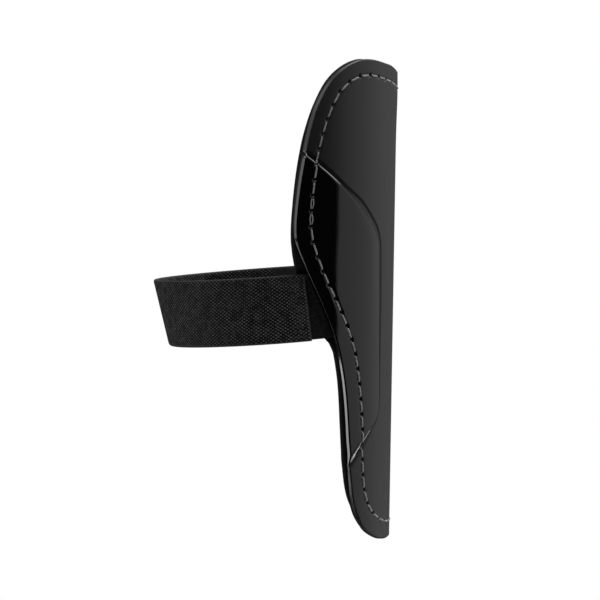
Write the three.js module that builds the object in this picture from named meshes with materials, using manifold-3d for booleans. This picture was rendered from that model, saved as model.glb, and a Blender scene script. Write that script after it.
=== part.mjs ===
// A shin guard: a moulded shell that wraps the front of the shin, a foam backing sewn behind it,
// and an elastic loop that goes round the calf and is fastened to a fabric tab at each side edge.
//
// Millimetres, +Z up the leg, the front of the shin towards -Y. The origin is on the inner face of
// the foam, on the shin's centre line, where the guard sits on the leg.
//
// The shell and the foam are sheets on round faces that share one leg axis. A place on a face is
// given by "across", the distance round the shell's outer face from the ridge line, and by z.

import * as THREE from "three";
import { mergeVertices } from "three/addons/utils/BufferGeometryUtils.js";
import Module from "manifold-3d";

const wasm = await Module();
wasm.setup();

// Leg and layers
const legRadius = 42.7; // inner face of the foam
const foamWall = 5; // foam behind the middle of the shell
const foamRimWall = 2.2; // foam where the seam presses it thin
const foamRimReach = 9; // how far in from its edge the foam grows to its full wall
const foamMargin = 0.6; // foam that shows past the shell's edge
const foamRound = 0.7; // rounding of the foam's edge
const shellWall = 2;
const shellRound = 0.5; // rounding of the shell's edge
const fitGap = 0.3; // clearance between pieces that lie on each other
const leanDegrees = 0.92; // the ridge line leans back towards the ankle

// Outline of the shell
const shellLength = 186; // from its lower end to its highest point
const shellHalfGirth = 66.7; // from the ridge to the widest point of the edge, round the face
const lowerEnd = 93.3; // from the origin down to the shell's lower end

// Raised side panels
const panelRise = 0.9;
const panelBevel = 0.6;
const panelRoot = 1; // how far a panel is sunk in the shell's wall, so that the two are one body

// Elastic loop and its tabs
const strapWidth = 25.5;
const strapWall = 1.6;
const strapBackRadius = 40.3; // from the leg axis to the loop's middle, at the calf
const strapHeight = -1.4; // height of the loop's middle where it meets the guard
const strapDrop = 0.07; // fall of the loop for each millimetre towards the calf
const strapFlare = 0.24; // at the calf the upper edge stands further out than the lower edge
const strapEnd = 69.6; // angle round the leg from the ridge to the loop's end, in degrees
const strapEndSkew = 0.162; // degrees by which that angle grows for each millimetre of height
const tabWidth = 24.4;
const tabWall = 1.2;
const tabRoot = 8; // tab that is sewn in under the shell, on the loop's middle line
const tabReach = 16; // tab that lies behind the loop's end

// Half of the shell's outline, from the lower end of the ridge line to its upper end. "across" is a
// share of shellHalfGirth and "up" a share of shellLength.
const outlineTable = [
  { at: "lower end", across: 0, up: 0 },
  { at: "lower edge", across: 0.3, up: 0.004 },
  { at: "lower corner", across: 0.505, up: 0.034 },
  { at: "ankle side", across: 0.592, up: 0.09 },
  { at: "lower side", across: 0.622, up: 0.2 },
  { at: "narrow side", across: 0.672, up: 0.343 },
  { at: "waist", across: 0.742, up: 0.434 },
  { at: "under the wing", across: 0.925, up: 0.57 },
  { at: "wing", across: 0.99, up: 0.624 },
  { at: "widest", across: 1, up: 0.664 },
  { at: "upper side", across: 0.956, up: 0.8 },
  { at: "shoulder", across: 0.862, up: 0.913 },
  { at: "upper corner", across: 0.752, up: 0.969 },
  { at: "highest", across: 0.57, up: 1 },
  { at: "upper edge", across: 0.27, up: 0.992 },
  { at: "upper end", across: 0, up: 0.98 },
];
const lowerCorner = 2.3; // rows of the table at which the face's grid has its corners
const upperCorner = 12.2;

// Front line of a side panel, from its lower tip to its upper tip, as shares of the same sizes. A
// corner is rounded from "round" before it to "round" after it, as a share of the length of its side.
const panelLine = [
  { at: "lower tip", across: 0.625, up: 0.155 },
  { at: "lower corner", across: 0.332, up: 0.264, round: 0.2 },
  { at: "upper corner", across: 0.37, up: 0.635, round: 0.2 },
  { at: "bow", across: 0.66, up: 0.739, round: 0.8 },
  { at: "upper tip", across: 0.949, up: 0.816 },
];
const panelLowerRow = 3.72; // rows of the outline table at which the panel's tips lie
const panelUpperRow = 10.15;

// Fineness of the meshes
const faceColumns = 9; // on each side of the ridge
const faceRows = 34;
const panelRows = 30;
const panelColumns = 4;
const strapSteps = 52;
const tabSteps = 12;

const foamFace = legRadius + foamWall;
const shellBack = foamFace + fitGap;
const shellFace = shellBack + shellWall;
const tabMiddle = shellBack - fitGap - tabWall / 2;
const strapMiddle = tabMiddle + tabWall / 2 + fitGap + strapWall / 2;

const { lerp, smoothstep, degToRad, radToDeg } = THREE.MathUtils;
const lean = Math.tan(degToRad(leanDegrees));

// The leg axis leans, so its distance behind the origin changes with height.
const axisDepth = (z) => legRadius - lean * z;

// A point at an angle round the leg from the ridge, in radians, at a height and a distance from the axis.
function roundLeg(angle, z, radius) {
  return new THREE.Vector3(radius * Math.sin(angle), axisDepth(z) - radius * Math.cos(angle), z);
}

const onFace = (across, z, radius) => roundLeg(across / shellFace, z, radius);

// Turns a table row into a point of the unrolled face.
const unrolled = (row) =>
  new THREE.Vector2(row.across * shellHalfGirth, row.up * shellLength - lowerEnd);

// The shell's whole outline as one closed smooth curve on the unrolled face.
function makeOutline() {
  const rightHalf = outlineTable.map(unrolled);
  const leftHalf = rightHalf.slice(1, -1).reverse().map((p) => new THREE.Vector2(-p.x, p.y));
  const points = [...rightHalf, ...leftHalf].map((p) => new THREE.Vector3(p.x, p.y, 0));
  return new THREE.CatmullRomCurve3(points, true, "centripetal");
}
const outline = makeOutline();

// A point of the outline at a table row, which may lie between two rows, moved outwards by offset.
function outlineAt(row, offset = 0) {
  const share = row / outline.points.length;
  const point = outline.getPoint(share);
  const along = outline.getTangent(share);
  return new THREE.Vector2(point.x + offset * along.y, point.y - offset * along.x);
}

// Distance from a point of the unrolled face to the outline, for thinning the foam's rim.
const outlineSamples = Array.from({ length: 240 }, (_, i) =>
  outlineAt((i / 240) * outline.points.length),
);
function distanceToOutline(across, z) {
  return Math.min(...outlineSamples.map((p) => Math.hypot(p.x - across, p.y - z)));
}

// Right half of the unrolled face as a Coons patch between the ridge line and the outline.
// u goes from the ridge to the side edge, and v from the lower edge to the upper edge.
function facePoint(u, v, offset) {
  const lastRow = outlineTable.length - 1;
  const lower = outlineAt(lerp(0, lowerCorner, u), offset);
  const upper = outlineAt(lerp(lastRow, upperCorner, u), offset);
  const side = outlineAt(lerp(lowerCorner, upperCorner, v), offset);
  const ridge = new THREE.Vector2(0, lerp(outlineAt(0, offset).y, outlineAt(lastRow, offset).y, v));
  const corner = (iu, iv) => {
    const row = iv ? (iu ? upperCorner : lastRow) : iu ? lowerCorner : 0;
    return outlineAt(row, offset);
  };
  const blend = (key) =>
    lerp(lower[key], upper[key], v) +
    lerp(ridge[key], side[key], u) -
    lerp(lerp(corner(0, 0)[key], corner(1, 0)[key], u), lerp(corner(0, 1)[key], corner(1, 1)[key], u), v);
  return new THREE.Vector2(blend("x"), blend("y"));
}

// The whole unrolled face as a grid of points, column by column in each row, from the left edge.
function faceGrid(offset) {
  const rows = [];
  for (let j = 0; j <= faceRows; j++) {
    const row = [];
    for (let i = -faceColumns; i <= faceColumns; i++) {
      const p = facePoint(Math.abs(i) / faceColumns, j / faceRows, offset);
      row.push(new THREE.Vector2(Math.sign(i) * p.x, p.y));
    }
    rows.push(row);
  }
  return rows;
}

// The grid's boundary, counter-clockwise from the lower left corner.
function boundaryOf(grid) {
  const lastRow = grid.length - 1;
  const lastColumn = grid[0].length - 1;
  return [
    ...grid[0].slice(0, lastColumn),
    ...grid.slice(0, lastRow).map((row) => row[lastColumn]),
    ...grid[lastRow].slice(1).reverse(),
    ...grid.slice(1).reverse().map((row) => row[0]),
  ];
}

// Collects triangles as loose corner positions, and closes them into one welded body.
class Skin {
  constructor() {
    this.positions = [];
  }
  triangle(a, b, c) {
    for (const p of [a, b, c]) this.positions.push(p.x, p.y, p.z);
  }
  quad(a, b, c, d) {
    this.triangle(a, b, c);
    this.triangle(a, c, d);
  }
  // A grid of rows, seen counter-clockwise from outside, or from inside when it is turned.
  grid(rows, turned = false) {
    for (let j = 0; j + 1 < rows.length; j++) {
      for (let i = 0; i + 1 < rows[j].length; i++) {
        const corners = [rows[j][i], rows[j][i + 1], rows[j + 1][i + 1], rows[j + 1][i]];
        this.quad(...(turned ? corners.reverse() : corners));
      }
    }
  }
  // A wall between two closed loops; the first lies on the outer face and runs counter-clockwise.
  wall(outer, inner) {
    outer.forEach((p, k) => {
      const next = (k + 1) % outer.length;
      this.quad(p, inner[k], inner[next], outer[next]);
    });
  }
  solid() {
    const loose = new THREE.BufferGeometry();
    loose.setAttribute("position", new THREE.Float32BufferAttribute(this.positions, 3));
    const welded = mergeVertices(loose, 1e-4);
    const index = welded.index.array;
    const kept = [];
    for (let i = 0; i < index.length; i += 3) {
      const [a, b, c] = index.slice(i, i + 3);
      if (a !== b && b !== c && c !== a) kept.push(a, b, c);
    }
    return new wasm.Manifold(
      new wasm.Mesh({
        numProp: 3,
        vertProperties: welded.attributes.position.array,
        triVerts: new Uint32Array(kept),
      }),
    );
  }
}

// A sheet on the round face. Its layers go from the outer face to the inner face, each with its
// offset from the outline and its radius; the layers between the two faces only shape the edge.
function sheetSolid(layers) {
  const skin = new Skin();
  const grids = layers.map(({ offset, radius }) =>
    faceGrid(offset).map((row) => row.map((p) => onFace(p.x, p.y, radius(p.x, p.y)))),
  );
  skin.grid(grids[0]);
  skin.grid(grids.at(-1), true);
  const loops = grids.map(boundaryOf);
  for (let k = 0; k + 1 < loops.length; k++) skin.wall(loops[k], loops[k + 1]);
  return skin.solid();
}

// The front line of a side panel as a path with rounded corners.
function makePanelPath() {
  const points = panelLine.map(unrolled);
  const path = new THREE.Path();
  path.moveTo(points[0].x, points[0].y);
  for (let k = 1; k + 1 < points.length; k++) {
    const corner = points[k];
    const reach = panelLine[k].round * Math.min(
      corner.distanceTo(points[k - 1]),
      corner.distanceTo(points[k + 1]),
    );
    const before = points[k - 1].clone().sub(corner).setLength(reach).add(corner);
    const after = points[k + 1].clone().sub(corner).setLength(reach).add(corner);
    path.lineTo(before.x, before.y);
    path.quadraticCurveTo(corner.x, corner.y, after.x, after.y);
  }
  path.lineTo(points.at(-1).x, points.at(-1).y);
  return path;
}

// A raised side panel: rows of points between its front line and the shell's edge, which meet at its
// tips. Its front wall slopes, so the upper face starts a bevel behind the line.
function panelSolid() {
  const line = makePanelPath();
  const grid = (inset, radius) => {
    const rows = [];
    for (let j = 0; j <= panelRows; j++) {
      const share = j / panelRows;
      const edge = outlineAt(lerp(panelLowerRow, panelUpperRow, share), -shellRound);
      const tip = j === 0 || j === panelRows;
      const front = tip ? edge : line.getPointAt(share);
      const span = edge.distanceTo(front);
      const start = tip ? edge : front.clone().lerp(edge, Math.min(inset / span, 1));
      const row = [];
      for (let i = 0; i <= panelColumns; i++) {
        const p = start.clone().lerp(edge, i / panelColumns);
        row.push(onFace(p.x, p.y, radius));
      }
      rows.push(row);
    }
    return rows;
  };
  const upper = grid(panelBevel, shellFace + panelRise);
  const foot = grid(0, shellFace);
  const root = grid(0, shellFace - panelRoot);
  const skin = new Skin();
  skin.grid(upper);
  skin.grid(root, true);
  const loops = [upper, foot, root].map(boundaryOf);
  skin.wall(loops[0], loops[1]);
  skin.wall(loops[1], loops[2]);
  return skin.solid();
}

const mirrorAcross = (solid) => solid.mirror([1, 0, 0]);

function shellSolid() {
  const sheet = sheetSolid([
    { offset: -shellRound, radius: () => shellFace },
    { offset: 0, radius: () => shellFace - shellRound },
    { offset: 0, radius: () => shellBack + shellRound },
    { offset: -shellRound, radius: () => shellBack },
  ]);
  const panel = panelSolid();
  return sheet.add(panel).add(mirrorAcross(panel));
}

// How far the foam's inner face lies from the leg axis: the foam is thin at its rim.
function foamBack(across, z) {
  const full = smoothstep(distanceToOutline(across, z), 0, foamRimReach);
  return foamFace - lerp(foamRimWall, foamWall, full);
}

// Radius of the loop's middle surface at an angle round the leg. It leaves the guard on the round of
// the tabs and draws in towards the calf.
function strapRadius(angle) {
  const drawn = smoothstep(radToDeg(angle), strapEnd + 6, 180);
  return lerp(strapMiddle, strapBackRadius, drawn);
}

// Height of the loop's middle line, which falls towards the calf.
function strapMiddleHeight(angle) {
  const depth = axisDepth(0) - strapRadius(angle) * Math.cos(angle);
  const depthAtEnd = axisDepth(0) - strapMiddle * Math.cos(degToRad(strapEnd));
  return strapHeight - strapDrop * (depth - depthAtEnd);
}

// Share by which the loop leans outwards at its upper edge: none at its ends, all at the calf.
const strapLean = (angle) => strapFlare * smoothstep(radToDeg(angle), strapEnd + 20, 180);

// A flat band round the leg. stations gives the angle of each cross-section at a height on the band,
// and offset moves the band towards the leg axis.
function bandSolid({ stations, width, wall, offset }) {
  const edge = wall / 4;
  const section = [
    { up: -width / 2 + edge, out: wall / 2 },
    { up: width / 2 - edge, out: wall / 2 },
    { up: width / 2, out: wall / 2 - edge },
    { up: width / 2, out: -wall / 2 + edge },
    { up: width / 2 - edge, out: -wall / 2 },
    { up: -width / 2 + edge, out: -wall / 2 },
    { up: -width / 2, out: -wall / 2 + edge },
    { up: -width / 2, out: wall / 2 - edge },
  ];
  const loops = stations.map((angleAt) =>
    section.map(({ up, out }) => {
      const angle = angleAt(up);
      const turned = angle > Math.PI ? 2 * Math.PI - angle : angle;
      const radius = strapRadius(turned) - offset + out + strapLean(turned) * up;
      return roundLeg(angle, strapMiddleHeight(turned) + up, radius);
    }),
  );
  const skin = new Skin();
  for (let k = 0; k + 1 < loops.length; k++) {
    const next = loops[k + 1];
    loops[k].forEach((p, i) => {
      const j = (i + 1) % section.length;
      skin.quad(p, next[i], next[j], loops[k][j]);
    });
  }
  const cap = (loop) => {
    for (let i = 1; i + 1 < loop.length; i++) skin.triangle(loop[0], loop[i], loop[i + 1]);
  };
  cap(loops[0]);
  cap([...loops.at(-1)].reverse());
  return skin.solid();
}

// The loop runs from the guard's right edge, round the calf, to its left edge. The skew of its ends
// fades out quickly along it.
function strapSolid() {
  const start = degToRad(strapEnd);
  const stations = [];
  for (let k = 0; k <= strapSteps; k++) {
    const share = (2 * k) / strapSteps - 1;
    const skew = -Math.sign(share) * degToRad(strapEndSkew) * Math.abs(share) ** 8;
    const angle = Math.PI + share * (Math.PI - start);
    stations.push((up) => angle + skew * up);
  }
  return bandSolid({ stations, width: strapWidth, wall: strapWall, offset: 0 });
}

// Angle round the leg of the shell's edge at the height of the loop's end.
function edgeAngle() {
  const nearest = outlineSamples
    .filter((p) => p.x > 0)
    .reduce((a, b) => (Math.abs(b.y - strapHeight) < Math.abs(a.y - strapHeight) ? b : a));
  return nearest.x / shellFace;
}

// A tab on the right side, from its sewn root under the shell to its free end behind the loop. It can
// be grown all round, to cut its seat in the foam.
function tabSolid(growth = 0) {
  const from = edgeAngle() - (tabRoot + growth) / shellFace;
  const to = degToRad(strapEnd) + (tabReach + growth) / shellFace;
  const stations = [];
  for (let k = 0; k <= tabSteps; k++) {
    const angle = lerp(from, to, k / tabSteps);
    stations.push(() => angle);
  }
  return bandSolid({
    stations,
    width: tabWidth + 2 * growth,
    wall: tabWall + 2 * growth,
    offset: strapMiddle - tabMiddle,
  });
}

// The foam is cut away where a tab lies on it, from the tab's seat outwards.
function foamSolid() {
  const sheet = sheetSolid([
    { offset: foamMargin - foamRound, radius: () => foamFace },
    { offset: foamMargin, radius: () => foamFace - foamRound },
    { offset: foamMargin, radius: () => foamFace - foamRimWall + foamRound },
    { offset: foamMargin - foamRound, radius: foamBack },
  ]);
  const seat = tabSolid(fitGap);
  return sheet.subtract(seat).subtract(mirrorAcross(seat));
}

// A named mesh from a solid.
function meshOf(name, solid, material) {
  const { vertProperties, triVerts } = solid.getMesh();
  const geometry = new THREE.BufferGeometry();
  geometry.setAttribute("position", new THREE.BufferAttribute(vertProperties, 3));
  geometry.setIndex(new THREE.BufferAttribute(triVerts, 1));
  geometry.computeVertexNormals();
  const mesh = new THREE.Mesh(geometry, material);
  mesh.name = name;
  return mesh;
}

const plastic = new THREE.MeshStandardMaterial({ color: 0x29292a, roughness: 0.35, metalness: 0 });
const foam = new THREE.MeshStandardMaterial({ color: 0x151516, roughness: 0.9, metalness: 0 });
const elastic = new THREE.MeshStandardMaterial({ color: 0x171718, roughness: 0.85, metalness: 0 });
const tape = new THREE.MeshStandardMaterial({ color: 0x0e0e0f, roughness: 0.8, metalness: 0 });

const guard = new THREE.Group();
guard.add(meshOf("shell", shellSolid(), plastic));
guard.add(meshOf("foam_backing", foamSolid(), foam));
guard.add(meshOf("elastic_strap", strapSolid(), elastic));
guard.add(meshOf("strap_tab_right", tabSolid(), tape));
guard.add(meshOf("strap_tab_left", mirrorAcross(tabSolid()), tape));

export default guard;
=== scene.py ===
import bpy
import numpy as np
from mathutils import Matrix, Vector
from mathutils.geometry import delaunay_2d_cdt


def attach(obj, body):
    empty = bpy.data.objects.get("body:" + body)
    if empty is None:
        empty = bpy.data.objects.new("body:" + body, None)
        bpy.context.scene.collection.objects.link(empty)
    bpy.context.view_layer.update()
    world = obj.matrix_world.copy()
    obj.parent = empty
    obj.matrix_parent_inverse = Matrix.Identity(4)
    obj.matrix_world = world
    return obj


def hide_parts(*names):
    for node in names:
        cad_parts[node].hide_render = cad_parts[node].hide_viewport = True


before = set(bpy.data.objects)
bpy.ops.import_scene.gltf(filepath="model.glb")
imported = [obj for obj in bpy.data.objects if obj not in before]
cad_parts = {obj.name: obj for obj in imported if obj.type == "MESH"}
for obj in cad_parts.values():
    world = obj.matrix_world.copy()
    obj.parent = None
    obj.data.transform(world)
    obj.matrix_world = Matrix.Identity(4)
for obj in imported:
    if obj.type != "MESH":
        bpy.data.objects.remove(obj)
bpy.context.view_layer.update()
mm = 0.001

leg = {
    "radius": 42.7,  # inner face of the foam
    "leanDegrees": 0.92,  # the ridge leans back towards the ankle
    "shellFace": 50.0,
    "shellBack": 48.0,
    "foamFace": 47.7,
}


def axisDepth(z):
    # the leg axis leans, so its distance behind the origin falls with height
    return leg["radius"] - np.tan(np.radians(leg["leanDegrees"])) * z


def aroundLeg(angle, z, radius):
    # angle from the ridge, height, distance from the leg axis -> place in space
    return np.stack([radius * np.sin(angle), axisDepth(z) - radius * np.cos(angle), z + 0 * angle], -1)


def rollOut(flat, radius):
    # the flat sheet (across, z) laid round the leg: angle = across / shell face
    return aroundLeg(flat[..., 0] / leg["shellFace"], flat[..., 1], radius)


def ease(x, low, high):
    # 0 below low, 1 above high, and 3t^2 - 2t^3 between
    t = np.clip((x - low) / (high - low), 0, 1)
    return t * t * (3 - 2 * t)


def blend(a, b, share):
    return a + (b - a) * share


# meshes and materials


def makeMesh(name, points, faceSets, normals=None, attributes=None, uv=None):
    # each face set is an array of corner numbers, one row a face; attributes and uv are per point
    mesh = bpy.data.meshes.new(name)
    corners = np.concatenate([np.ravel(f) for f in faceSets]).astype(np.int32)
    sizes = np.concatenate([np.full(len(f), f.shape[1]) for f in faceSets])
    mesh.vertices.add(len(points))
    mesh.vertices.foreach_set("co", np.ravel(points * mm))
    mesh.loops.add(len(corners))
    mesh.loops.foreach_set("vertex_index", corners)
    mesh.polygons.add(len(sizes))
    mesh.polygons.foreach_set("loop_start", np.cumsum(sizes) - sizes)
    mesh.polygons.foreach_set("use_smooth", np.ones(len(sizes), bool))
    mesh.update(calc_edges=True)
    for key, values in (attributes or {}).items():
        mesh.attributes.new(key, "FLOAT", "POINT").data.foreach_set("value", values)
    if uv is not None:
        mesh.uv_layers.new(name="flat").data.foreach_set("uv", np.ravel(uv[corners]))
    if normals is not None:
        mesh.normals_split_custom_set_from_vertices(normals.tolist())
    return mesh


def addPiece(name, mesh, material, stands=()):
    piece = bpy.data.objects.new(name, mesh)
    bpy.context.scene.collection.objects.link(piece)
    mesh.materials.append(material)
    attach(piece, "root")
    if stands:
        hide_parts(*stands)
    print("made", name, len(mesh.vertices), "points")
    return piece


def tone(hexValue):
    # sRGB hex to linear colour with alpha 1
    srgb = np.array([int(hexValue[k : k + 2], 16) for k in (1, 3, 5)]) / 255
    linear = np.where(srgb <= 0.04045, srgb / 12.92, ((srgb + 0.055) / 1.055) ** 2.4)
    return (*linear.tolist(), 1.0)


def addNode(tree, kind, inputs=None, **settings):
    # a node with its settings; an input gets either a value or another node's output
    node = tree.nodes.new(kind)
    for key, value in settings.items():
        setattr(node, key, value)
    for key, value in (inputs or {}).items():
        if isinstance(value, bpy.types.NodeSocket):
            tree.links.new(value, node.inputs[key])
        else:
            node.inputs[key].default_value = value
    return node


def newMaterial(name, **values):
    # a material with a Principled shader whose own sockets hold the fixed values
    material = bpy.data.materials.new(name)
    material.use_nodes = True
    shader = material.node_tree.nodes["Principled BSDF"]
    for key, value in values.items():
        shader.inputs[key.replace("_", " ")].default_value = value
    return material, material.node_tree, shader


def objectPlace(tree):
    return addNode(tree, "ShaderNodeTexCoord").outputs["Object"]


def readMark(tree, name):
    return addNode(tree, "ShaderNodeAttribute", attribute_name=name).outputs["Fac"]


def noise(tree, place, scale, detail):
    # cloudy pattern from 0 to 1; scale counts its lumps in a metre
    values = {"Vector": place, "Scale": scale, "Detail": detail}
    return addNode(tree, "ShaderNodeTexNoise", values).outputs["Fac"]


def calculate(tree, operation, *values):
    return addNode(tree, "ShaderNodeMath", dict(enumerate(values)), operation=operation).outputs[0]


def remap(tree, value, *limits, kind="LINEAR"):
    # from (first, second) to (third, fourth) of the limits, or to (0, 1)
    names = "From Min", "From Max", "To Min", "To Max"
    values = {"Value": value, **dict(zip(names, limits))}
    return addNode(tree, "ShaderNodeMapRange", values, interpolation_type=kind).outputs["Result"]


def mixTints(tree, share, low, high):
    # low and high are colours, given as hex or as another node's output
    low, high = (tone(tint) if isinstance(tint, str) else tint for tint in (low, high))
    return addNode(tree, "ShaderNodeMix", {"Factor": share, 6: low, 7: high}, data_type="RGBA").outputs[2]


def setSurface(tree, shader, tint, height, strength, depth):
    # base colour, and a bump of the given strength and depth in metres
    values = {"Height": height, "Strength": strength, "Distance": depth}
    bump = addNode(tree, "ShaderNodeBump", values)
    tree.links.new(tint, shader.inputs["Base Color"])
    tree.links.new(bump.outputs[0], shader.inputs["Normal"])


# shell outline, panel line and seam, on the flat sheet

outlineShape = {
    "halfGirth": 66.7,
    "length": 186.0,
    "lowerEnd": 93.3,
    # right half from the lower end of the ridge to its upper end: shares of half girth and length
    "rows": (
        (0, 0), (0.3, 0.004), (0.505, 0.034), (0.592, 0.09), (0.622, 0.2), (0.672, 0.343),
        (0.742, 0.434), (0.925, 0.57), (0.99, 0.624), (1, 0.664), (0.956, 0.8), (0.862, 0.913),
        (0.752, 0.969), (0.57, 1), (0.27, 0.992), (0, 0.98),
    ),
}


def flatPlace(share):
    # shares of half girth and length -> (across, z)
    shape = outlineShape
    scale = np.array([shape["halfGirth"], shape["length"]])
    return np.asarray(share, float) * scale - np.array([0, shape["lowerEnd"]])


def closedCurve(points, row):
    # centripetal Catmull-Rom through the points; row counts them and may lie between two
    count = len(points)
    first = np.floor(row).astype(int)
    t = (row - first)[:, None]
    p0, p1, p2, p3 = (points[(first + k) % count] for k in (-1, 0, 1, 2))
    d0, d1, d2 = (
        np.linalg.norm(b - a, axis=1)[:, None] ** 0.5 for a, b in ((p0, p1), (p1, p2), (p2, p3))
    )
    t1 = ((p1 - p0) / d0 - (p2 - p0) / (d0 + d1) + (p2 - p1) / d1) * d1
    t2 = ((p2 - p1) / d1 - (p3 - p1) / (d1 + d2) + (p3 - p2) / d2) * d1
    return p1 + t1 * t + (3 * (p2 - p1) - 2 * t1 - t2) * t**2 + (2 * (p1 - p2) + t1 + t2) * t**3


rightHalf = flatPlace(outlineShape["rows"])
outlinePoints = np.vstack([rightHalf, rightHalf[1:-1][::-1] * (-1, 1)])
rowCount = len(outlinePoints)
sideRows = len(rightHalf) - 1


def evenRows(count):
    # rows of the outline at equal distances along it
    row = np.linspace(0, rowCount, 6001)
    way = closedCurve(outlinePoints, row)
    walked = np.concatenate([[0], np.cumsum(np.linalg.norm(np.diff(way, axis=0), axis=1))])
    return np.interp(np.linspace(0, walked[-1], count, endpoint=False), walked, row)


def outlineNormal(row):
    # outward direction on the flat sheet, from the curve's slope
    along = closedCurve(outlinePoints, row + 1e-3) - closedCurve(outlinePoints, row - 1e-3)
    along /= np.linalg.norm(along, axis=1)[:, None]
    return np.stack([along[:, 1], -along[:, 0]], -1)


def outlineLoop(row, offset):
    # the outline moved outwards by offset, which may be one number or one for each row
    return closedCurve(outlinePoints, row) + outlineNormal(row) * np.reshape(offset, (-1, 1))


def nearLine(flat, line):
    # distance from each place to a line of points: the least over its straight pieces
    a, b = line[:-1], line[1:]
    span = b - a
    best = np.full(len(flat), 1e9)
    for start in range(0, len(flat), 4000):
        rel = flat[start : start + 4000, None, :] - a
        t = np.clip((rel * span).sum(-1) / (span**2).sum(-1), 0, 1)
        best[start : start + 4000] = np.linalg.norm(rel - t[..., None] * span, axis=-1).min(1)
    return best


def closeLine(loop):
    return np.vstack([loop, loop[:1]])


edgeLine = closeLine(outlineLoop(evenRows(500), 0))

panel = {
    # front line from the lower tip to the upper tip; a corner's third number is how far it is rounded
    "line": (
        (0.625, 0.155, 0), (0.332, 0.264, 0.2), (0.37, 0.635, 0.2),
        (0.66, 0.739, 0.8), (0.949, 0.816, 0),
    ),
    "overrun": 9.0,  # the line goes on past the shell's edge
    "rise": 0.95,
    "tipRise": 0.3,  # more rise at the upper tip, less at the lower
    "lowTipRise": -0.05,
    "slope": 1.7,  # width of the step, from its sharp foot to the end of its rounded crest
    "tipSlope": 0.5,  # wider at the tips
    "lowTipSlope": 2.2,
    "straight": 0.15,  # share of the width that is a plain slope, and more of it at the tips
    "tipStraight": 0.45,
    "tipReach": 20.0,
    "dome": 0.4,  # the panel falls by this much towards its front, over this distance
    "domeReach": 7.0,
    "domeFrom": (18.0, 32.0),  # it fades in between these distances from the shell's edge
    # the channel in front of the step: its depth and the two distances between which it ends, midway
    # and at the tips
    "channel": (0.42, 1.6, 2.6),
    "tipChannel": (0.5, 0.0, 1.0),
    "channelMerge": (18.0, 32.0),
}


def panelPath():
    # straight pieces, with a quadratic Bezier from "reach" before each corner to "reach" after it
    table = np.array(panel["line"], float)
    points = flatPlace(table[:, :2])
    pieces = [points[:1]]
    for k in range(1, len(points) - 1):
        before, after = points[k - 1] - points[k], points[k + 1] - points[k]
        lengths = np.linalg.norm(before), np.linalg.norm(after)
        reach = table[k, 2] * min(lengths)
        start, stop = points[k] + before / lengths[0] * reach, points[k] + after / lengths[1] * reach
        t = np.linspace(0, 1, 25)[:, None]
        pieces.append((1 - t) ** 2 * start + 2 * t * (1 - t) * points[k] + t**2 * stop)
    pieces.append(points[-1:])
    path = np.vstack(pieces)
    ends = []
    for tip, inner in ((path[0], path[1]), (path[-1], path[-2])):
        ends.append(tip + (tip - inner) / np.linalg.norm(tip - inner) * panel["overrun"])
    path = np.vstack([ends[0], path, ends[1]])
    walked = np.concatenate([[0], np.cumsum(np.linalg.norm(np.diff(path, axis=0), axis=1))])
    even = np.linspace(0, walked[-1], 300)
    return np.stack([np.interp(even, walked, path[:, k]) for k in (0, 1)], -1)


panelFront = panelPath()


def panelDepth(flat):
    # signed distance behind the panel's front line, on either side of the ridge
    side = np.stack([np.abs(flat[:, 0]), flat[:, 1]], -1)
    inside = side[:, 0] > np.interp(side[:, 1], panelFront[:, 1], panelFront[:, 0])
    return np.where(inside, 1, -1) * nearLine(side, panelFront)


seam = {
    # how far the seam lies inside the edge, at rows of the outline table
    "rows": (0, 1, 2, 3, 4, 5.7, 6.15, 6.5, 7, 8, 9.2, 10, 11, 12, 13, 14, 15),
    "inset": (5.4, 6.8, 8.8, 8.2, 7.2, 7.2, 6.2, 5.0, 5.7, 6.6, 6.1, 5.6, 5.7, 5.5, 5.8, 5.6, 6.3),
    "holes": 84,
    "phase": 0.55,
    "groove": 0.12,
    "grooveWidth": 0.8,
    "holeDepth": 0.6,
    "holeSize": 0.6,
}


def seamLoop(count):
    # the outline moved inwards by the inset table, then evened out along its own length
    row = np.linspace(0, rowCount, 3001)
    half = np.where(row > sideRows, rowCount - row, row)
    inset = np.interp(half, seam["rows"], seam["inset"])
    soften = np.hanning(161)
    padded = np.concatenate([inset[-81:-1], inset, inset[1:81]])
    inset = np.convolve(padded, soften / soften.sum(), "valid")
    way = outlineLoop(row, -inset)
    walked = np.concatenate([[0], np.cumsum(np.linalg.norm(np.diff(way, axis=0), axis=1))])
    even = (np.arange(count) / count + seam["phase"] / seam["holes"]) % 1 * walked[-1]
    return np.stack([np.interp(even, walked, way[:, k]) for k in (0, 1)], -1)


holes = seamLoop(seam["holes"])
seamLine = closeLine(seamLoop(seam["holes"] * 8))


def nearHole(flat):
    # distance to the closest stitch hole
    best = np.full(len(flat), 1e9)
    for start in range(0, len(flat), 8000):
        part = flat[start : start + 8000, None, :] - holes
        best[start : start + 8000] = np.linalg.norm(part, axis=-1).min(1)
    return best


def ridgeRise(flat):
    # the ridge stands a little forward of the round face, more so near its upper end
    high = np.exp(-(((flat[:, 1] - shell["flareHeight"]) / shell["flareReach"]) ** 2))
    near = 1 - ease(np.abs(flat[:, 0]), 0, shell["ridgeReach"])
    return (shell["ridge"] + shell["flare"] * high) * near


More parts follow.
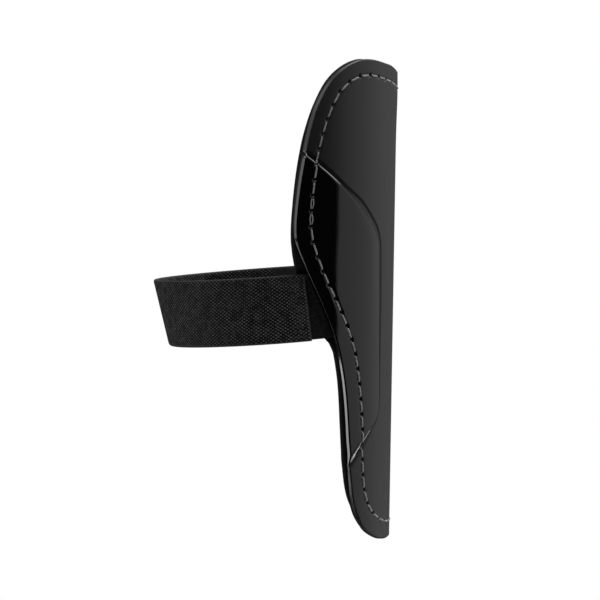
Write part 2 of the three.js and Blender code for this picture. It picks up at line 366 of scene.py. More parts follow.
def shellHeight(flat):
    # height over the round face: the panel's step and dome, the channel before it, the seam's groove
    # and holes
    depth, inset = panelDepth(flat), nearLine(flat, edgeLine)
    tip = 1 - ease(inset, 0, panel["tipReach"])
    low = flat[:, 1] < 0
    wide = panel["slope"] + np.where(low, panel["lowTipSlope"], panel["tipSlope"]) * tip
    rise = panel["rise"] + np.where(low, panel["lowTipRise"], panel["tipRise"]) * tip
    straight = panel["straight"] + panel["tipStraight"] * tip
    t = np.clip(depth / wide, 0, 1)
    steep = 2 / (1 + straight)
    late = np.clip(t - straight, 0, None)
    step = steep * (t - late**2 / (2 * (1 - straight)))
    crest = (1 - np.clip(depth / panel["domeReach"], 0, 1)) ** 2
    dome = panel["dome"] * crest * ease(inset, *panel["domeFrom"])
    height = step * (rise - dome)
    merge = ease(inset, *panel["channelMerge"])
    deep, near, far = (blend(a, b, merge) for a, b in zip(panel["tipChannel"], panel["channel"]))
    height -= deep * (1 - ease(-depth, near, far)) * (1 - step)
    height += ridgeRise(flat)
    height -= seam["groove"] * np.exp(-((nearLine(flat, seamLine) / seam["grooveWidth"]) ** 2))
    return height - seam["holeDepth"] * np.exp(-((nearHole(flat) / seam["holeSize"]) ** 2))


def faceNormals(flat, heightOf, base):
    # cross product of the two slopes of the rolled sheet, from small differences of its height
    nudge = 0.02
    steps = [(nudge, 0), (-nudge, 0), (0, nudge), (0, -nudge)]
    right, left, up, down = (rollOut(flat + s, base + heightOf(flat + s)) for s in steps)
    normal = np.cross(right - left, up - down)
    return normal / np.linalg.norm(normal, axis=1)[:, None]


def offsetLine(line, offset):
    # a line moved sideways by offset, along the normal of each point
    along = np.gradient(line, axis=0)
    along /= np.linalg.norm(along, axis=1)[:, None]
    return line + np.stack([along[:, 1], -along[:, 0]], -1) * offset


def lattice(pitch):
    # staggered rows of points over the whole flat sheet
    across = np.arange(-70, 70, pitch)
    up = np.arange(-96, 96, pitch * 0.866)
    grid = np.stack(np.meshgrid(across, up), -1)
    grid[1::2, :, 0] += pitch / 2
    return grid.reshape(-1, 2)


def fillSheet(loop, inner):
    # triangles between a closed loop and the points inside it; the loop keeps the first numbers
    flat = np.vstack([loop, inner])
    made = delaunay_2d_cdt(flat.tolist(), [], [list(range(len(loop)))], 1, 1e-5)
    points = np.array([v[:] for v in made[0]])
    first = np.full(len(points), -1)
    first[:] = [origin[0] if origin else -1 for origin in made[3]]
    order = np.argsort(np.where(first < 0, len(flat), first), kind="stable")
    place = np.empty(len(points), int)
    place[order] = np.arange(len(points))
    return points[order], place[np.array(made[2])]


def inwards(flat, loop, margin):
    # the points of flat that lie inside a closed loop by more than margin
    line = closeLine(loop)
    return flat[insideLoop(flat, line) & (nearLine(flat, line) > margin)]


def insideLoop(flat, line):
    # even-odd rule: how often a level line to the right crosses the closed line
    a, b = line[:-1], line[1:]
    crossings = np.zeros(len(flat), int)
    for start in range(0, len(flat), 8000):
        x, z = flat[start : start + 8000, :1], flat[start : start + 8000, 1:]
        spans = (a[:, 1] > z) != (b[:, 1] > z)
        rise = np.where(b[:, 1] == a[:, 1], 1e-9, b[:, 1] - a[:, 1])
        reach = a[:, 0] + (z - a[:, 1]) / rise * (b[:, 0] - a[:, 0])
        crossings[start : start + 8000] = (spans & (x < reach)).sum(1)
    return crossings % 2 == 1


def ringFaces(upper, lower):
    # four-cornered faces between two closed loops of point numbers; the upper loop lies outside
    return np.stack([upper, lower, np.roll(lower, -1), np.roll(upper, -1)], -1)


def edgeDirection(row):
    # outward direction of the outline in space
    normal = outlineNormal(row)
    angle = closedCurve(outlinePoints, row)[:, 0] / leg["shellFace"]
    zero = np.zeros_like(angle)
    tangent = np.stack([np.cos(angle), np.sin(angle), zero], -1)
    return normal[:, :1] * tangent + normal[:, 1:] * np.array([0, 0, 1])


# shell

shell = {
    "loopPoints": 720,
    # width of the outer edge's bevel, how far the edge stands off the outline, and how far the inner
    # edge is rounded, each at rows of the outline's table
    "bevelRows": (0, 2.6, 5, 6.4, 7.5, 8.5, 9.3, 9.8, 10.5, 11, 12, 12.5, 13, 14, 15),
    "bevels": (0.6, 0.5, 0.5, 0.6, 0.8, 0.95, 1.3, 1.55, 1.5, 1.4, 1.0, 0.5, 0.4, 0.5, 0.7),
    "shiftRows": (
        0, 0.6, 1.2, 1.7, 2.2, 2.7, 3.3, 3.7, 4.1,
        4.5, 8, 9, 10, 10.4, 10.9, 11.4, 12, 12.6, 13.2, 13.7, 14.2, 15,
    ),
    "shifts": (
        0.8, 0.6, 0.35, -0.1, -1.1, -1.1, -1.1, -0.3, 0.1,
        0, 0, 0.3, 0.3, 0.6, 0.9, 0.7, 0.5, 0.3, 0.35, 0.6, 0.8, 0.7,
    ),
    "innerRows": (0, 3.4, 3.9, 5.8, 6.4, 7.5, 15),
    "innerRounds": (0.5, 0.5, 1.3, 1.3, 0.8, 0.5, 0.5),
    "bevelSteps": 8,
    "latticePitch": 2.2,
    "innerPitch": 6.0,
    "innerMargin": 3.5,
    # the lattice keeps clear of the edge, the step, the seam and the holes by these distances
    "clearEdge": 3.2,
    "clearStep": 3.8,
    "clearSeam": 2.1,
    "clearHole": 1.35,
    "clearLoop": 0.3,
    # lines of points beside the step, the seam, the edge and the holes
    "panelOffsets": (
        -3.2, -2.8, -2.4, -2.0, -1.6, -1.2, -0.8, -0.4, -0.1, 0,
        0.12, 0.3, 0.5, 0.75, 1.0, 1.3, 1.6, 2.0, 2.5, 3.1,
    ),
    "seamOffsets": (-1.5, -1.0, -0.6, -0.25, 0.25, 0.6, 1.0, 1.5),
    "edgeInsets": (0.35, 0.8, 1.5, 2.5),
    "holeRings": ((0.2, 6), (0.42, 9), (0.65, 12), (0.85, 13), (1.15, 14)),
    "holeShadeReach": 0.72,  # how far the painted shade in a hole reaches
    "ridge": 0.42,  # how far the ridge stands out, and how far round that fades
    "ridgeReach": 26.0,
    "flare": 0.3,  # more of it near the upper end
    "flareHeight": 81.0,
    "flareReach": 11.0,
}


def atRows(row, rows, values):
    # a value read off a table of outline rows, the same on both sides
    half = np.where(row > sideRows, rowCount - row, row)
    return np.interp(half, rows, values)


def shellEdge(row, inset):
    # loop on the shell's face, inset from where its bevel starts
    shift = atRows(row, shell["shiftRows"], shell["shifts"])
    return outlineLoop(row, shift - atRows(row, shell["bevelRows"], shell["bevels"]) - inset)


def shellInnerPoints(loop):
    # points that follow the step, the seam, the holes and the edge, and a lattice between them
    fine = inwards(lattice(shell["latticePitch"]), loop, shell["clearEdge"])
    offStep = np.abs(panelDepth(fine) + 0.3) > shell["clearStep"]
    sets = [fine[offStep & (nearLine(fine, seamLine) > shell["clearSeam"])]]
    for offset in shell["panelOffsets"]:
        right = offsetLine(panelFront, offset)
        sets += [right, right * (-1, 1)]
    for offset in shell["seamOffsets"]:
        sets.append(offsetLine(seamLine, offset)[:-1])
    for inset in shell["edgeInsets"]:
        sets.append(shellEdge(evenRows(600), inset))
    cleared = [points[nearHole(points) > shell["clearHole"]] for points in sets]
    for radius, count in shell["holeRings"]:
        turn = np.linspace(0, 2 * np.pi, count, endpoint=False)
        ring = radius * np.stack([np.cos(turn), np.sin(turn)], -1)
        cleared.append((holes[:, None, :] + ring).reshape(-1, 2))
    cleared.append(holes)
    return inwards(np.vstack(cleared), loop, shell["clearLoop"])


def bevelProfile(steps):
    # turn of the normal, way out and way down along a bevel with soft corners: the turn rises as a
    # cubic round 45 degrees, and the way is its running sum
    u = np.linspace(-1, 1, steps + 1)
    turn = np.radians(45 + 45 * u**3)
    ways = []
    for part in (np.cos(turn), np.sin(turn)):
        way = np.concatenate([[0], np.cumsum((part[1:] + part[:-1]) / 2)])
        ways.append(way / way[-1])
    return turn, *ways


def closedSheet(name, row, outer, layers, inner, attributesOf=None):
    # outer and inner are (points, triangles, heights, normals) of the two faces, whose first points
    # are their edge loops; each layer between them is (flat loop, radius, normals)
    count = len(row)
    places, normals, flats, faces = [outer[2]], [outer[3]], [outer[0]], [outer[1]]
    used = len(outer[0])
    previous = np.arange(count)
    for flat, radius, normal in layers:
        loop = used + np.arange(count)
        places.append(rollOut(flat, radius))
        normals.append(normal)
        flats.append(flat)
        faces.append(ringFaces(previous, loop))
        previous, used = loop, used + count
    faces.append(ringFaces(previous, used + np.arange(count)))
    faces.append(inner[1][:, ::-1] + used)
    places.append(inner[2])
    normals.append(inner[3])
    flats.append(inner[0])
    flat = np.vstack(flats)
    threes = [f for f in faces if f.shape[1] == 3]
    fours = [f for f in faces if f.shape[1] == 4]
    attributes = attributesOf(flat) if attributesOf else None
    sets = [np.vstack(threes), np.vstack(fours)]
    return makeMesh(name, np.vstack(places), sets, np.vstack(normals), attributes)


def shellAttributes(flat):
    # 1 on the glossy panel, and 1 in a stitch hole, with a steep fall round it; the hole's value paints
    # shade into it
    return {
        "gloss": ease(panelDepth(flat), -0.05, 0.1),
        "hole": np.exp(-((nearHole(flat) / shell["holeShadeReach"]) ** 4)),
    }


def makeShell(material):
    row = evenRows(shell["loopPoints"])
    loop = shellEdge(row, 0)
    flat, triangles = fillSheet(loop, shellInnerPoints(loop))
    height = shellHeight(flat)
    face = leg["shellFace"]
    outer = (flat, triangles, rollOut(flat, face + height), faceNormals(flat, shellHeight, face))
    edgeHeight = shellHeight(loop)
    side, out = edgeDirection(row), outer[3][: len(row)]
    bevel = atRows(row, shell["bevelRows"], shell["bevels"])
    shift = atRows(row, shell["shiftRows"], shell["shifts"])
    layers = []
    for turn, away, down in list(zip(*bevelProfile(shell["bevelSteps"])))[1:]:
        normal = side * np.sin(turn) + out * np.cos(turn)
        flatLoop = outlineLoop(row, shift + bevel * (away - 1))
        layers.append((flatLoop, face + edgeHeight - bevel * down, normal))
    inRound = atRows(row, shell["innerRows"], shell["innerRounds"])
    innerLoop = outlineLoop(row, shift - inRound)
    fine = inwards(lattice(shell["innerPitch"]), innerLoop, shell["innerMargin"])
    innerFlat, innerTriangles = fillSheet(innerLoop, fine)
    back = leg["shellBack"]
    inward = -faceNormals(innerFlat, lambda p: 0 * p[:, 0], back)
    for turn in np.linspace(0, np.pi / 2, 6)[:-1]:
        offset = shift + inRound * (np.cos(turn) - 1)
        lift = inRound * (1 - np.sin(turn))
        normal = side * np.cos(turn) + inward[: len(row)] * np.sin(turn)
        layers.append((outlineLoop(row, offset), back + lift, normal))
    inner = (innerFlat, innerTriangles, rollOut(innerFlat, back), inward)
    mesh = closedSheet("shell_plastic", row, outer, layers, inner, shellAttributes)
    return addPiece("shell_plastic", mesh, material, ("shell",))


def plasticMaterial():
    # polypropylene, injection moulded: near black, satin where the mould is eroded, glossy side panels
    material, tree, shader = newMaterial("injectionMouldedPolypropylene", IOR=1.49)
    place = objectPlace(tree)
    gloss, hole = readMark(tree, "gloss"), readMark(tree, "hole")
    # flow streaks down the length of the moulding, about 2 mm wide and 60 mm long
    stretched = addNode(tree, "ShaderNodeMapping", {"Vector": place, "Scale": (500, 500, 16)})
    satin = remap(tree, noise(tree, stretched.outputs[0], 1.0, 3.0), 0, 1, 0.36, 0.46)
    values = {"Factor": gloss, "A": satin, "B": 0.05}
    rough = addNode(tree, "ShaderNodeMix", values, data_type="FLOAT").outputs["Result"]
    tree.links.new(rough, shader.inputs["Roughness"])
    # the stitch holes are painted near black: painted shade for their depth, which is greater than the 0.6
    # mm dimple
    tint = mixTints(tree, hole, mixTints(tree, gloss, "#272729", "#060606"), "#010101")
    # the eroded mould's grain, 0.5 mm across, drawn as coarse as the picture can show
    setSurface(tree, shader, tint, noise(tree, place, 2000.0, 2.0), 0.08, 0.0002)
    return material


# foam

foam = {
    # how far the foam stands out past the shell's edge, at rows of the outline table: it is cut back
    # at the lower corner and stands out at the waist, behind the tab
    "marginRows": (
        0, 0.8, 1.2, 2.0, 2.7, 3.3, 3.8, 4.4, 5, 5.6, 5.85,
        6.05, 6.4, 6.75, 7.2, 7.5, 7.9, 8.4, 9.3, 10.3, 11, 15,
    ),
    "margins": (
        0.4, 0, -0.8, -2.2, -2.1, -0.4, 0.8, 0.6, 0.1, 0.05, 1.0,
        2.3, 3.4, 3.7, 3.1, 2.3, 1.3, 0.8, 0.6, 1.0, 0.6, 0.3,
    ),
    "rimWall": 2.2,
    "cornerRimWall": 1.7,  # thinner at the lower end
    "fullWall": 5.0,
    "fullReach": 15.0,  # this far from the edge the wall is full
    "seamPinch": 0.75,  # how deep the seam presses in, and how wide
    "pinchWidth": 2.2,
    "loopPoints": 560,
    "rimSteps": 8,
    "pitch": 2.4,
    "seamOffsets": (-2.4, -1.6, -0.8, 0, 0.8, 1.6, 2.4),
    "clearSeam": 3.0,
    "outerMargin": 1.2,
    "innerMargin": 0.8,
    "seat": 1.5,  # how deep the tabs press into it
}


def tabSeat(flat):
    # 1 where a tab lies on the foam, 0 away from it
    t = tab
    up = 1 - ease(np.abs(flat[:, 1] - strap["height"]), t["width"] / 2, t["width"] / 2 + 1.5)
    start = tabStart() * leg["shellFace"]
    return up * ease(np.abs(flat[:, 0]), start - 2, start)


def foamWall(flat):
    # the wall grows from its rim inwards, and the seam presses a groove into it
    inset = nearLine(flat, edgeLine) * np.where(insideLoop(flat, edgeLine), 1, 0)
    low = 1 - ease(flat[:, 1], -82, -55)
    rim = blend(foam["rimWall"], foam["cornerRimWall"], low)
    wall = blend(rim, foam["fullWall"], ease(inset, 1.5, foam["fullReach"]))
    pinch = np.exp(-((nearLine(flat, seamLine) / foam["pinchWidth"]) ** 2))
    return wall - foam["seamPinch"] * pinch


def foamBack(flat):
    # distance of the foam's inner face from the leg axis
    return leg["foamFace"] - foamWall(flat) - 0.35 * foam["seat"] * tabSeat(flat)


def foamFront(flat):
    # distance of its outer face from the leg axis
    return leg["foamFace"] - foam["seat"] * tabSeat(flat)


def makeFoam(material):
    row = evenRows(foam["loopPoints"])
    side = edgeDirection(row)
    margin = atRows(row, foam["marginRows"], foam["margins"])
    edge = outlineLoop(row, margin)
    front, back = foamFront(edge), foamBack(edge)
    rim = (front - back) / 2
    loop = outlineLoop(row, margin - rim)
    fine = lattice(foam["pitch"])
    seamRings = [offsetLine(seamLine, offset)[:-1] for offset in foam["seamOffsets"]]
    follow = np.vstack([fine[nearLine(fine, seamLine) > foam["clearSeam"]], *seamRings])
    outFlat, outTriangles = fillSheet(loop, inwards(fine, loop, foam["outerMargin"]))
    outward = faceNormals(outFlat, foamFront, 0)
    outer = (outFlat, outTriangles, rollOut(outFlat, foamFront(outFlat)), outward)
    inFlat, inTriangles = fillSheet(loop, inwards(follow, loop, foam["innerMargin"]))
    inward = -faceNormals(inFlat, foamBack, 0)
    inner = (inFlat, inTriangles, rollOut(inFlat, foamBack(inFlat)), inward)
    front, back = foamFront(loop), foamBack(loop)
    layers = []
    for turn in np.linspace(0, np.pi, foam["rimSteps"] + 1)[1:-1]:
        flat = outlineLoop(row, margin - rim + rim * np.sin(turn))
        normal = side * np.sin(turn) + outward[: len(row)] * np.cos(turn)
        layers.append((flat, blend(front, back, (1 - np.cos(turn)) / 2), normal))
    mesh = closedSheet("foam_pad", row, outer, layers, inner)
    piece = addPiece("foam_pad", mesh, material, ("foam_backing",))
    return piece


def foamMaterial():
    # EVA foam under a brushed knit: black, soft to the eye, with a short nap that catches side light
    material, tree, shader = newMaterial(
        "brushedKnitOverFoam", Roughness=0.9, Sheen_Weight=0.08, Sheen_Roughness=0.5, Specular_IOR_Level=0.2
    )
    place = objectPlace(tree)
    # knit loops about 1.1 mm apart
    loops = addNode(tree, "ShaderNodeTexVoronoi", {"Vector": place, "Scale": 900.0}).outputs["Distance"]
    nap = noise(tree, place, 1500.0, 3.0)
    tint = mixTints(tree, nap, "#0b0b0c", "#242427")
    setSurface(tree, shader, tint, calculate(tree, "ADD", loops, nap), 0.5, 0.0003)
    return material


# seam thread

thread = {
    "radius": 0.34,
    "steps": 22,
    "sides": 8,
    "lift": 0.16,  # the thread's middle over the plastic
    "dive": 0.9,  # how deep its ends go into the holes
    "shoulder": (0.5, 1.3),  # from a hole's middle to where the thread lies flat
    "doubled": (30.0, 38.5),  # heights between which the seam was sewn twice
    "doubledShift": 0.5,  # how far each of the two bows aside
    "doubledRadius": 0.22,
}


def tubesOnSheet(name, start, stop, surfaceAt, outwards, radius, bow):
    # each tube runs between two flat places, lifted off the surface and bowed aside as half a sine, and
    # dives at both ends; its ring lies in the plane of "sideways" and "out"
    steps, sides = thread["steps"], thread["sides"]
    share = np.linspace(0, 1, steps)
    turn = np.linspace(0, 2 * np.pi, sides, endpoint=False)
    along = stop - start
    sideways = np.stack([along[:, 1], -along[:, 0]], -1) / np.linalg.norm(along, axis=1)[:, None]
    middle = start[:, None] + along[:, None] * share[None, :, None]
    middle += sideways[:, None] * (bow[:, None] * np.sin(np.pi * share))[..., None]
    sink = np.minimum(share, 1 - share) * np.linalg.norm(along, axis=1).mean()
    lift = blend(-thread["dive"], thread["lift"], ease(sink, *thread["shoulder"]))
    thick = radius[:, None, None] * blend(0.7, 1, ease(sink, 0, 1.6))[:, None]
    flat = middle[:, :, None] + sideways[:, None, None] * (thick * np.cos(turn))[..., None]
    base = surfaceAt(middle.reshape(-1, 2)).reshape(middle.shape[:2])
    heights = base + outwards * lift
    rings = heights[..., None] + outwards * thick * np.sin(turn)
    points = rollOut(flat.reshape(-1, 2), rings.ravel())
    number = np.arange(len(points)).reshape(len(start), steps, sides)
    a, b = number[:, :-1], number[:, 1:]
    around = [a, b, np.roll(b, -1, 2), np.roll(a, -1, 2)]
    walls = np.stack(around if outwards < 0 else around[::-1], -1).reshape(-1, 4)
    caps = [number[:, 0], number[:, -1, ::-1]]
    caps = np.vstack(caps if outwards < 0 else [c[:, ::-1] for c in caps])
    return makeMesh(name, points, [walls, caps])


def smoothShell(flat):
    # the shell's face without the holes, for the thread to lie on
    return leg["shellFace"] + shellHeight(flat) + seam["holeDepth"] * np.exp(
        -((nearHole(flat) / seam["holeSize"]) ** 2)
    )


def makeSeam(material):
    start, stop = holes, np.roll(holes, -1, 0)
    height = (start[:, 1] + stop[:, 1]) / 2
    twice = (height > thread["doubled"][0]) & (height < thread["doubled"][1])
    starts, stops = np.vstack([start, start[twice]]), np.vstack([stop, stop[twice]])
    aside = thread["doubledShift"]
    bow = np.concatenate([twice * aside, np.full(twice.sum(), -aside)])
    radius = np.where(bow == 0, thread["radius"], thread["doubledRadius"])
    mesh = tubesOnSheet("seam_thread", starts, stops, smoothShell, 1, radius, bow)
    addPiece("seam_thread", mesh, material)
    plain = np.zeros(len(start))
    backs = tubesOnSheet("seam_thread_back", start, stop, foamBack, -1, plain + thread["radius"], plain)
    addPiece("seam_thread_back", backs, material)


def threadMaterial():
    # bonded polyester, spun and twisted: pale grey, dull, with painted shade: darker where its bump is low,
    # between the twisted strands
    material, tree, shader = newMaterial("twistedPolyesterThread", Roughness=0.7, Sheen_Weight=0.2)
    plyReliefAndShade = noise(tree, objectPlace(tree), 1800.0, 2.0)
    # painted shade: the same noise sets the bump and the colour, darker where the bump is low
    setSurface(tree, shader, mixTints(tree, plyReliefAndShade, "#8c8c90", "#dadadd"), plyReliefAndShade, 0.5, 0.0002)
    return material


# elastic loop and tabs

strap = {
    "width": 25.9,
    "wall": 1.6,
    "middle": 48.8,  # distance of its middle from the leg axis where it meets the guard
    "backRadius": 40.5,
    "height": -1.35,
    "tilt": 0.25,  # higher at the right, lower at the left
    "drop": 0.07,  # fall for each millimetre towards the calf
    "flare": 0.26,  # lean outwards at the calf
    "end": 69.1,  # angle of its ends round the leg, in degrees, and the growth of it with height
    "endSkew": 0.162,
    "stations": 560,
    "faceSteps": 92,
    "backSteps": 26,
    "edgeSteps": 6,
    "hem": 9.0,
    "hemRise": 0.3,
    "hemSoft": 1.2,
    "closing": 1.1,  # the wall closes over this distance at the end, down to this share
    "closedWall": 0.25,
    "fold": (0.7, 1.1),  # the fold's painted highlight ends between these distances from the end
    "selvedge": (0.9, 0.3),  # and the selvedge's painted highlight lies between these from the edge
    "plainEdge": (0.7, 1.3),  # the weave fades out between these
    "weaveAlong": 1.64,  # the floats repeat at this distance along the band
    "weaveUp": 1.27,  # and at this distance across it, in a brick pattern
    "weaveRise": 0.1,
    # stitches across the hem: from and to this distance from the end, their spacing and thickness
    "stitchFrom": 2.4,
    "stitchTo": 6.2,
    "stitchPitch": 2.0,
    "stitchWide": 0.6,
}
tab = {"width": 25.2, "wall": 1.2, "middle": 47.1, "root": 8.0, "reach": 16.0, "stations": 40}


def strapRadius(angle):
    # from the guard's round to the smaller calf, eased between the end and the calf
    drawn = ease(np.degrees(angle), strap["end"] + 6, 180)
    return blend(strap["middle"], strap["backRadius"], drawn)


def bandPoint(angle, up, out):
    # a band's place: round the leg, falling towards the calf and leaning outwards at its upper edge
    turned = np.where(angle > np.pi, 2 * np.pi - angle, angle)
    radius = strapRadius(turned)
    depth = axisDepth(0) - radius * np.cos(turned)
    depthAtEnd = axisDepth(0) - strap["middle"] * np.cos(np.radians(strap["end"]))
    middle = strap["height"] - strap["drop"] * (depth - depthAtEnd) + strap["tilt"] * np.sin(angle)
    flare = strap["flare"] * ease(np.degrees(turned), strap["end"] + 20, 180)
    return aroundLeg(angle, middle + up, radius + out + flare * up)


def tabStart():
    # angle at which a tab starts, under the shell's edge
    edge = edgeLine[edgeLine[:, 0] > 0]
    nearest = edge[np.argmin(np.abs(edge[:, 1] - strap["height"])), 0]
    return (nearest - tab["root"]) / leg["shellFace"]


def bandSection(width, wall, faceSteps, backSteps, edgeSteps):
    # a flat section with round edges, once round: heights, and out as a share of half the wall
    face = np.linspace(-1, 1, faceSteps, endpoint=False)
    back = np.linspace(1, -1, backSteps, endpoint=False)
    turn = np.linspace(0, np.pi, edgeSteps, endpoint=False)
    bend = wall / 2
    straight = width / 2 - bend
    swell = straight + bend * np.sin(turn)
    up = np.concatenate([face * straight, swell, back * straight, -swell])
    out = np.concatenate([np.ones(faceSteps), np.cos(turn), -np.ones(backSteps), -np.cos(turn)])
    return up, out


def bandMesh(name, angle, up, out, uv, attributes=None):
    # a grid of sections along the band, closed by a face at each end
    points = bandPoint(angle, up, out)
    rows, columns = up.shape
    number = np.arange(rows * columns).reshape(rows, columns)
    a, b = number[:-1], number[1:]
    walls = np.stack([a, b, np.roll(b, -1, 1), np.roll(a, -1, 1)], -1).reshape(-1, 4)
    caps = np.stack([number[0], number[-1, ::-1]])
    points, uv = points.reshape(-1, 3), uv.reshape(-1, 2)
    return makeMesh(name, points, [walls, caps], attributes=attributes, uv=uv)


def makeStrap(material):
    # the section closes over the fold at each end
    s = strap
    share = np.linspace(-1, 1, s["stations"])
    half = (np.pi - np.radians(s["end"])) * (s["middle"] + s["backRadius"]) / 2
    up, out = bandSection(s["width"], s["wall"], s["faceSteps"], s["backSteps"], s["edgeSteps"])
    fromEnd = (1 - np.abs(share)) * half
    closing = np.sqrt(1 - (1 - np.clip(fromEnd / s["closing"], 0, 1)) ** 2)[:, None]
    hem = (1 - ease(fromEnd, s["hem"] - s["hemSoft"], s["hem"]))[:, None]
    run = share[:, None] * half + 0 * up
    slanted = [2 * np.pi * (run / s["weaveAlong"] + way * up / s["weaveUp"]) for way in (1, -1)]
    plain = ease(s["width"] / 2 - np.abs(up), *s["plainEdge"]) * (out > 0.99) * closing
    weave = s["weaveRise"] * plain * (np.cos(slanted[0]) + np.cos(slanted[1])) / 2
    upGrid = up[None] * np.ones_like(closing)
    hemmed = hem * s["hemRise"] * (out[None] > 0) * closing
    outGrid = out[None] * s["wall"] / 2 * blend(s["closedWall"], 1, closing) + hemmed
    fromEndGrid = fromEnd[:, None] + 0 * up
    # painted highlights: on the fold at the end and on the selvedges, and the stitches across the hem,
    # drawn lighter as the sheen of their black thread
    fold = (1 - ease(fromEndGrid, *s["fold"])) * ease(fromEndGrid, 0, 0.3)
    dashAt = np.abs((up / s["stitchPitch"]) % 1 - 0.5) * s["stitchPitch"]
    dash = 1 - ease(np.broadcast_to(dashAt, run.shape), 0.15, s["stitchWide"] / 2 + 0.15)
    dash *= ease(fromEndGrid, s["stitchFrom"] - 0.3, s["stitchFrom"])
    dash *= 1 - ease(fromEndGrid, s["stitchTo"], s["stitchTo"] + 0.3)
    selvedge = ease(np.abs(up) + 0 * run, *(s["width"] / 2 - np.array(s["selvedge"])))
    dash = dash * (1 - selvedge) * (out > 0.99)
    highlightAndStitchMarks = {"highlightAndStitch": np.maximum(np.maximum(fold, 0.7 * dash), 0.8 * selvedge).ravel()}
    outGrid += weave * (1 - dash) * (1 - fold) + 0.15 * dash
    skew = -np.sign(share) * np.radians(s["endSkew"]) * np.abs(share) ** 8
    angle = np.pi + share[:, None] * (np.pi - np.radians(s["end"])) + skew[:, None] * upGrid
    uv = np.stack([run, upGrid], -1)
    mesh = bandMesh("calf_elastic", angle, upGrid, outGrid, uv, highlightAndStitchMarks)
    return addPiece("calf_elastic", mesh, material, ("elastic_strap",))


def makeTab(name, side, material, node):
    # side 1 is +X; the tab starts under the shell and ends behind the loop's end
    t = tab
    start = tabStart()
    stop = np.radians(strap["end"]) + t["reach"] / leg["shellFace"]
    angle = np.linspace(start, stop, t["stations"])[:, None]
    up, out = bandSection(t["width"], t["wall"], 40, 40, 6)
    upGrid = up[None] * np.ones_like(angle)
    outGrid = out[None] * t["wall"] / 2 - (strap["middle"] - t["middle"]) + 0 * angle
    angle = angle + 0 * upGrid
    run = angle * leg["shellFace"]
    uv = np.stack([run, upGrid], -1)
    if side < 0:
        angle, upGrid, outGrid, uv = ((2 * np.pi - angle)[::-1], upGrid[::-1], outGrid[::-1], uv[::-1])
    mesh = bandMesh(name, angle, upGrid, outGrid, uv)
    return addPiece(name, mesh, material, (node,))


def elasticMaterial():
    # polyester over rubber, woven: black, with floats in a brick pattern; each float's colour is painted
    # lighter as a highlight, and darker between them as painted shade
    material, tree, shader = newMaterial("wovenElastic", Roughness=0.75, Specular_IOR_Level=0.15)
    flat = addNode(tree, "ShaderNodeUVMap", uv_map="flat").outputs["UV"]
    waves = []
    for way in (1, -1):
        slant = (2 * np.pi / strap["weaveAlong"], way * 2 * np.pi / strap["weaveUp"], 0)
        phase = addNode(tree, "ShaderNodeVectorMath", {0: flat, 1: slant}, operation="DOT_PRODUCT")
        waves.append(calculate(tree, "COSINE", phase.outputs["Value"]))
    share = remap(tree, calculate(tree, "ADD", *waves), -2.0, 2.0)
    # painted highlight: the colour rises towards each float's top, where light catches it
    floatHighlight = calculate(tree, "POWER", share, 2.0)
    # fibre ends, 0.7 mm across, and the uneven strength of the painted float highlights, 3 mm across
    place = objectPlace(tree)
    fibre, uneven = noise(tree, place, 1400.0, 3.0), noise(tree, place, 350.0, 2.0)
    unevenHighlight = remap(tree, uneven, 0.3, 0.7, 0.55, 1.3)
    floatHighlightAndFibre = calculate(tree, "MULTIPLY_ADD", fibre, 0.25, calculate(tree, "MULTIPLY", floatHighlight, unevenHighlight))
    # near black between the floats as painted shade, grey on them as painted highlight, with the fibre
    # ends' uneven tone
    tint = mixTints(tree, remap(tree, floatHighlightAndFibre, 0.3, 1.0), "#020202", "#858586")
    # painted highlight on the fold's rounded end and on the selvedges, and the hem stitches painted lighter
    # as the sheen of their black thread
    tint = mixTints(tree, readMark(tree, "highlightAndStitch"), tint, "#4a4a4c")
    setSurface(tree, shader, tint, calculate(tree, "ADD", share, fibre), 0.5, 0.0002)
    return material


def clothMaterial():
    # nylon tricot with a brushed face: dull black with a faint fuzz
    material, tree, shader = newMaterial(
        "brushedTricot", Roughness=0.9, Sheen_Weight=0.06, Sheen_Roughness=0.45, IOR=1.5
    )
    fuzz = remap(tree, noise(tree, objectPlace(tree), 900.0, 4.0), 0.35, 0.68)
    setSurface(tree, shader, mixTints(tree, fuzz, "#030304", "#232326"), fuzz, 0.4, 0.0003)
    return material


# stage

stage = {
    "floorHeight": -300.0,
    "floorRadius": 1000.0,
    "target": (0, 29.2, -0.7),
    "azimuth": -89.0,
    "elevation": 2.5,
    "distance": 1200.0,
    "lens": 181.8,
}


def makeFloor():
    # a pale round sheet that fades into the white surroundings at its edge
    turn = np.linspace(0, 2 * np.pi, 96, endpoint=False)
    rim = np.stack([np.cos(turn), np.sin(turn), 0 * turn], -1) * stage["floorRadius"]
    points = rim + (0, 0, stage["floorHeight"])
    mesh = makeMesh("floor", points, [np.arange(96)[None]])
    floor = bpy.data.objects.new("floor", mesh)
    bpy.context.scene.collection.objects.link(floor)
    material, tree, shader = newMaterial("matteWhiteSheet", Roughness=0.9, Base_Color=tone("#f2f2f2"))
    values = {0: objectPlace(tree), 1: (1, 1, 0)}
    level = addNode(tree, "ShaderNodeVectorMath", values, operation="MULTIPLY").outputs[0]
    far = addNode(tree, "ShaderNodeVectorMath", {0: level}, operation="LENGTH").outputs["Value"]
    fade = remap(tree, far, 0.35, 0.95, 1.0, 0.0, kind="SMOOTHSTEP")
    tree.links.new(fade, shader.inputs["Alpha"])
    mesh.materials.append(material)
    floor.visible_glossy = False


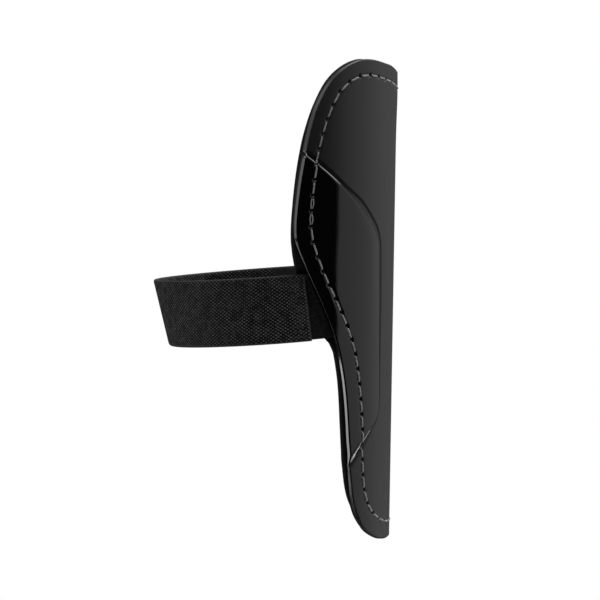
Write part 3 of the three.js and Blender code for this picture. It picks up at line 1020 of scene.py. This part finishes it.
def makeSurroundings():
    # white behind the object; the light that reaches it comes from a pale room with a dark end, at the
    # side towards -X, and with a dim floor
    world = bpy.data.worlds.new("studio")
    bpy.context.scene.world = world
    world.use_nodes = True
    tree = world.node_tree
    tree.nodes.clear()
    direction = addNode(tree, "ShaderNodeTexCoord").outputs["Generated"]
    parts = addNode(tree, "ShaderNodeSeparateXYZ", {"Vector": direction}).outputs
    # sharp end of the pale wall, its fall towards +X and behind the guard, and the dim floor
    ramps = [
        ("X", -0.366, -0.36, 0.0, 1.0, "LINEAR"),
        ("X", 0.4, 1.12, 1.0, 0.13, "SMOOTHSTEP"),
        ("Y", -0.05, 0.3, 1.0, 0.27, "SMOOTHSTEP"),
        ("Z", -0.3, -0.1, 0.25, 1.0, "LINEAR"),
    ]
    lit = 1.0
    for axis, *limits, kind in ramps:
        lit = calculate(tree, "MULTIPLY", lit, remap(tree, parts[axis], *limits, kind=kind))
    plain = {"Color": (1, 1, 1, 1)}
    strength = remap(tree, lit, 0, 1, 0.015, 0.63)
    room = addNode(tree, "ShaderNodeBackground", {**plain, "Strength": strength})
    white = addNode(tree, "ShaderNodeBackground", {**plain, "Strength": 1.0})
    seen = addNode(tree, "ShaderNodeLightPath").outputs["Is Camera Ray"]
    mix = addNode(tree, "ShaderNodeMixShader", {0: seen, 1: room.outputs[0], 2: white.outputs[0]})
    addNode(tree, "ShaderNodeOutputWorld", {"Surface": mix.outputs[0]})


def addLamp(name, place, size, radiance, soft=False):
    # a rectangular lamp aimed at the guard, which the camera doesn't see; power = radiance pi area; one
    # that isn't soft shows only as a highlight
    data = bpy.data.lights.new(name, "AREA")
    data.shape = "RECTANGLE"
    data.size, data.size_y = size[0] * mm, size[1] * mm
    data.energy = radiance * np.pi * data.size * data.size_y
    lamp = bpy.data.objects.new(name, data)
    bpy.context.scene.collection.objects.link(lamp)
    lamp.location = Vector(place) * mm
    lamp.rotation_euler = (-Vector(place)).to_track_quat("-Z", "Y").to_euler()
    lamp.visible_camera = False
    lamp.visible_diffuse = soft


def makeCamera():
    azimuth, elevation = np.radians([stage["azimuth"], stage["elevation"]])
    level = np.cos(elevation)
    back = np.array([np.sin(azimuth) * level, -np.cos(azimuth) * level, np.sin(elevation)])
    data = bpy.data.cameras.new("camera")
    data.lens, data.sensor_width = stage["lens"], 36.0
    data.clip_start, data.clip_end = 0.05, 20.0
    camera = bpy.data.objects.new("camera", data)
    bpy.context.scene.collection.objects.link(camera)
    camera.location = Vector((np.array(stage["target"]) + back * stage["distance"]) * mm)
    camera.rotation_euler = Vector(-back).to_track_quat("-Z", "Y").to_euler()
    bpy.context.scene.camera = camera


makeShell(plasticMaterial())
makeFoam(foamMaterial())
makeSeam(threadMaterial())
makeStrap(elasticMaterial())
cloth = clothMaterial()
makeTab("tab_cloth_right", 1, cloth, "strap_tab_right")
makeTab("tab_cloth_left", -1, cloth, "strap_tab_left")

makeFloor()
makeSurroundings()
addLamp("overhead", (150, -250, 1000), (700, 700), 5, soft=True)
addLamp("rearLow", (165, 1055, -240), (400, 360), 4.8)
addLamp("rearUnder", (-320, 830, -520), (480, 560), 2)
addLamp("rearLeft", (-525, 860, 130), (450, 650), 2.5)
addLamp("rearHigh", (-630, 440, 715), (600, 500), 3.9)
addLamp("frontHigh", (450, -850, 690), (640, 380), 3.5)
addLamp("frontLow", (780, -770, -445), (200, 190), 3.2)
makeCamera()
bpy.context.scene.view_settings.view_transform = "Standard"
print("stage ready")
